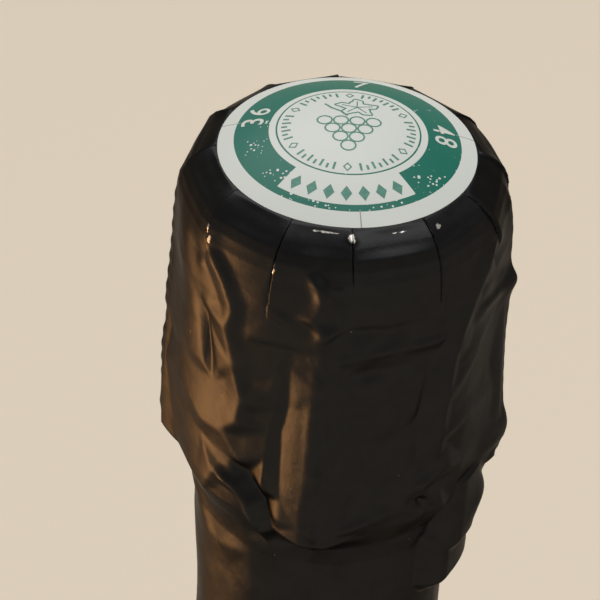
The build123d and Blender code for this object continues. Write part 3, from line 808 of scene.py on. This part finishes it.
def grape_outline(centre_x, centre_y, radius):
    """Points of a circle on the disc."""
    rounds = [polar(radius, turn) for turn in range(0, 360, 20)]
    return [(centre_x + x, centre_y + y) for x, y in rounds]


def lozenge(inner, outer, turn, half_turn):
    """The corners of a lozenge that stands on a radius of the disc."""
    middle = (inner + outer) / 2
    return [
        polar(outer, turn), polar(middle, turn + half_turn),
        polar(inner, turn), polar(middle, turn - half_turn),
    ]


# The bunch: rows of grapes from the top down, a leaf of five lobes with its veins, and a stalk
strips = []
grape_radius, grape_pitch, row_pitch, top_row = 0.77, 1.7, 1.42, 0.9
for row, grapes in enumerate((4, 3, 2, 1)):
    for grape in range(grapes):
        across = (grape - (grapes - 1) / 2) * grape_pitch
        strips.append(ink_strip(grape_outline(across, top_row - row_pitch * row, grape_radius)))
leaf_x, leaf_y, leaf_squash, lobe_reach, vein_reach, vein_height = 0.8, 3.7, 0.8, 1.85, 1.7, 1.35
leaf = []
for step in range(72):
    turn = step * 5
    lobes = 0.50 * math.cos(math.radians(5 * (turn - 90)))
    lobe = lobe_reach + lobes + 0.12 * math.cos(math.radians(15 * turn))
    x, y = polar(lobe, turn)
    leaf.append((leaf_x + x, leaf_y + leaf_squash * y))
strips.append(ink_strip(leaf))
for tip in (18, 90, 162, 234, 306):
    end_x = leaf_x + vein_reach * math.cos(math.radians(tip))
    end_y = leaf_y + vein_height * math.sin(math.radians(tip))
    strips.append(ink_strip([(leaf_x, leaf_y), (end_x, end_y)], 0.12, False))
strips.append(ink_strip([(-0.2, 1.8), (-0.9, 2.7), (-1.9, 3.4), (-2.6, 4.3)], 0.22, False))

# The ring: 60 ticks, a long and a short one by turns, with a lozenge in place of three in ten
tick_outer, long_inner, short_inner, tick_width = 7.0, 6.05, 6.4, 0.24
for tick in range(60):
    turn = 6 * tick
    if tick % 10 == 5:
        strips.append(ink_strip(lozenge(6.0, tick_outer, turn, 3.4)))
    elif tick % 10 not in (4, 6):
        inner = long_inner if tick % 2 else short_inner
        strips.append(ink_strip([polar(inner, turn), polar(tick_outer, turn)], tick_width, False))
ink_points, ink_faces = [], []
for points, faces in strips:
    first = len(ink_points)
    ink_points += points
    ink_faces += [tuple(first + corner for corner in face) for face in faces]
# Seven filled lozenges stand in the band's window
for number in range(7):
    turn = window_turn + 10.5 * (number - 3)
    first = len(ink_points)
    ink_points += [on_dome(*corner) for corner in lozenge(8.95, 10.75, turn, 3.4)]
    ink_faces.append((first, first + 1, first + 2, first + 3))
ink_mesh = bpy.data.meshes.new("disc_motifs")
ink_mesh.from_pydata(ink_points, [], ink_faces)
ink_mesh.update()
motifs = bpy.data.objects.new("disc_motifs", ink_mesh)
bpy.context.scene.collection.objects.link(motifs)

# Plain numerals are bent round the middle of the band
numeral_radius, numeral_size = 10.1, 3.3
numerals = []
for body, turn in (("36", 163), ("7", 84), ("48", 8)):
    bpy.ops.object.select_all(action="DESELECT")
    bpy.ops.object.text_add(location=(0, 0, 0))
    numeral = bpy.context.object
    numeral.data.body = body
    numeral.data.size = numeral_size
    numeral.data.space_character = 1.25
    numeral.data.offset = 0.03
    numeral.data.align_x = "CENTER"
    numeral.data.align_y = "CENTER"
    bpy.ops.object.convert(target="MESH")
    bpy.ops.object.mode_set(mode="EDIT")
    bpy.ops.mesh.select_all(action="SELECT")
    bpy.ops.mesh.subdivide(number_cuts=3)
    bpy.ops.object.mode_set(mode="OBJECT")
    for vertex in numeral.data.vertices:
        along, up = vertex.co.x, vertex.co.y
        bent = turn - math.degrees(along / numeral_radius)
        vertex.co = on_dome(*polar(numeral_radius + up, bent))
    numeral.name = "disc_numeral_" + body
    numerals.append(numeral)


def ink_material(name, pale, full):
    """Flat printing ink with a faint mottle."""
    material = bpy.data.materials.new(name)
    material.use_nodes = True
    nodes, links = material.node_tree.nodes, material.node_tree.links
    shader = nodes["Principled BSDF"]
    shader.inputs["Roughness"].default_value = 0.45
    links.new(mottled(material, 1800.0, pale, full).outputs["Tone"], shader.inputs["Base Color"])
    return material


green_ink = ink_material("green_ink", (0.10, 0.30, 0.24, 1), (0.010, 0.15, 0.11, 1))
white_ink = ink_material("white_ink", (0.55, 0.60, 0.57, 1), (0.70, 0.72, 0.69, 1))
for sheet, material in [(motifs, green_ink)] + [(numeral, white_ink) for numeral in numerals]:
    sheet.data.materials.append(material)
    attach(sheet, "foil")

# Floor, light and camera: a pale studio table under a broad key light, with a soft light above,
# a small warm lamp low on the left and a faint one on the right. The camera looks down on the
# head at the photograph's angle, fitted to the disc's ellipses and the foil's outline.
bpy.ops.object.select_all(action="DESELECT")
bpy.ops.mesh.primitive_plane_add(size=60, location=(0, 0, 0))
floor = bpy.context.object
floor.name = "floor"
backdrop = bpy.data.materials.new("cream_table")
backdrop.use_nodes = True
backdrop.node_tree.nodes["Principled BSDF"].inputs["Base Color"].default_value = (0.84, 0.745, 0.615, 1)
backdrop.node_tree.nodes["Principled BSDF"].inputs["Roughness"].default_value = 0.7
floor.data.materials.append(backdrop)


def softbox(name, place, aim, size, power, colour, spread=180):
    """A round soft light at a place, aimed at a point, with its width and height in metres."""
    light = bpy.data.lights.new(name, "AREA")
    light.shape = "ELLIPSE"
    light.size, light.size_y = size
    light.energy = power
    light.color = colour
    light.spread = math.radians(spread)
    lamp = bpy.data.objects.new(name, light)
    lamp.matrix_world = Matrix.Translation(place) @ (
        (Vector(aim) - Vector(place)).to_track_quat("-Z", "Y").to_matrix().to_4x4()
    )
    lamp.visible_camera = False
    lamp.visible_transmission = False
    bpy.context.scene.collection.objects.link(lamp)


# The key light is far away, so the whole table is lit evenly
key = bpy.data.lights.new("key_light", "SUN")
key.energy = 1.34
key.angle = math.radians(47)
key.color = (1.0, 0.97, 0.93)
key_lamp = bpy.data.objects.new("key_light", key)
key_lamp.rotation_euler = Vector((0.4, -1.1, -1.6)).to_track_quat("-Z", "Y").to_euler()
key_lamp.visible_transmission = False
bpy.context.scene.collection.objects.link(key_lamp)
softbox("top_light", (0.5, -0.1, 1.8), (0, 0, 0.3), (1.1, 1.1), 8, (1.0, 0.98, 0.95))
softbox("warm_light", (-0.358, 0.025, 0.03), (0, 0, 0.30), (0.24, 0.26), 0.30, (1.0, 0.47, 0.16), 50)
softbox("side_light", (0.32, 0.17, 0.03), (0, 0, 0.30), (0.20, 0.20), 0.010, (1.0, 0.96, 0.90), 50)
# The room is warm and bright at the table's edge, and dimmer and greyer above
world = bpy.data.worlds.new("studio")
world.use_nodes = True
nodes, links = world.node_tree.nodes, world.node_tree.links
nodes["Background"].inputs["Strength"].default_value = 0.52
coords = nodes.new("ShaderNodeTexCoord")
direction = nodes.new("ShaderNodeSeparateXYZ")
links.new(coords.outputs["Generated"], direction.inputs["Vector"])
climb = nodes.new("ShaderNodeMapRange")
climb.interpolation_type = "SMOOTHSTEP"
climb.inputs["From Max"].default_value = 0.42
links.new(direction.outputs["Z"], climb.inputs["Value"])
room = nodes.new("ShaderNodeMix")
room.data_type = "RGBA"
room.inputs["A"].default_value = (1.0, 0.88, 0.73, 1)
room.inputs["B"].default_value = (0.56, 0.54, 0.51, 1)
links.new(climb.outputs["Result"], room.inputs["Factor"])
links.new(room.outputs["Result"], nodes["Background"].inputs["Color"])
bpy.context.scene.world = world
bpy.context.scene.view_settings.view_transform = "Standard"

target = Vector((-4.07 * mm, 0, 298.4 * mm))
elevation, roll, distance = math.radians(38.86), math.radians(3.18), 246.8 * mm
level_right = Vector((1, 0, 0))
level_up = Vector((0, math.sin(elevation), math.cos(elevation)))
right = level_right * math.cos(roll) + level_up * math.sin(roll)
up = level_up * math.cos(roll) - level_right * math.sin(roll)
back = Vector((0, -math.cos(elevation), math.sin(elevation)))
place = target + back * distance
camera_data = bpy.data.cameras.new("camera")
camera_data.lens = 134.4
camera_data.sensor_width = 36
camera_data.clip_start = 0.01
camera = bpy.data.objects.new("camera", camera_data)
camera.matrix_world = Matrix((
    (right.x, up.x, back.x, place.x),
    (right.y, up.y, back.y, place.y),
    (right.z, up.z, back.z, place.z),
    (0, 0, 0, 1),
))
bpy.context.scene.collection.objects.link(camera)
bpy.context.scene.camera = camera
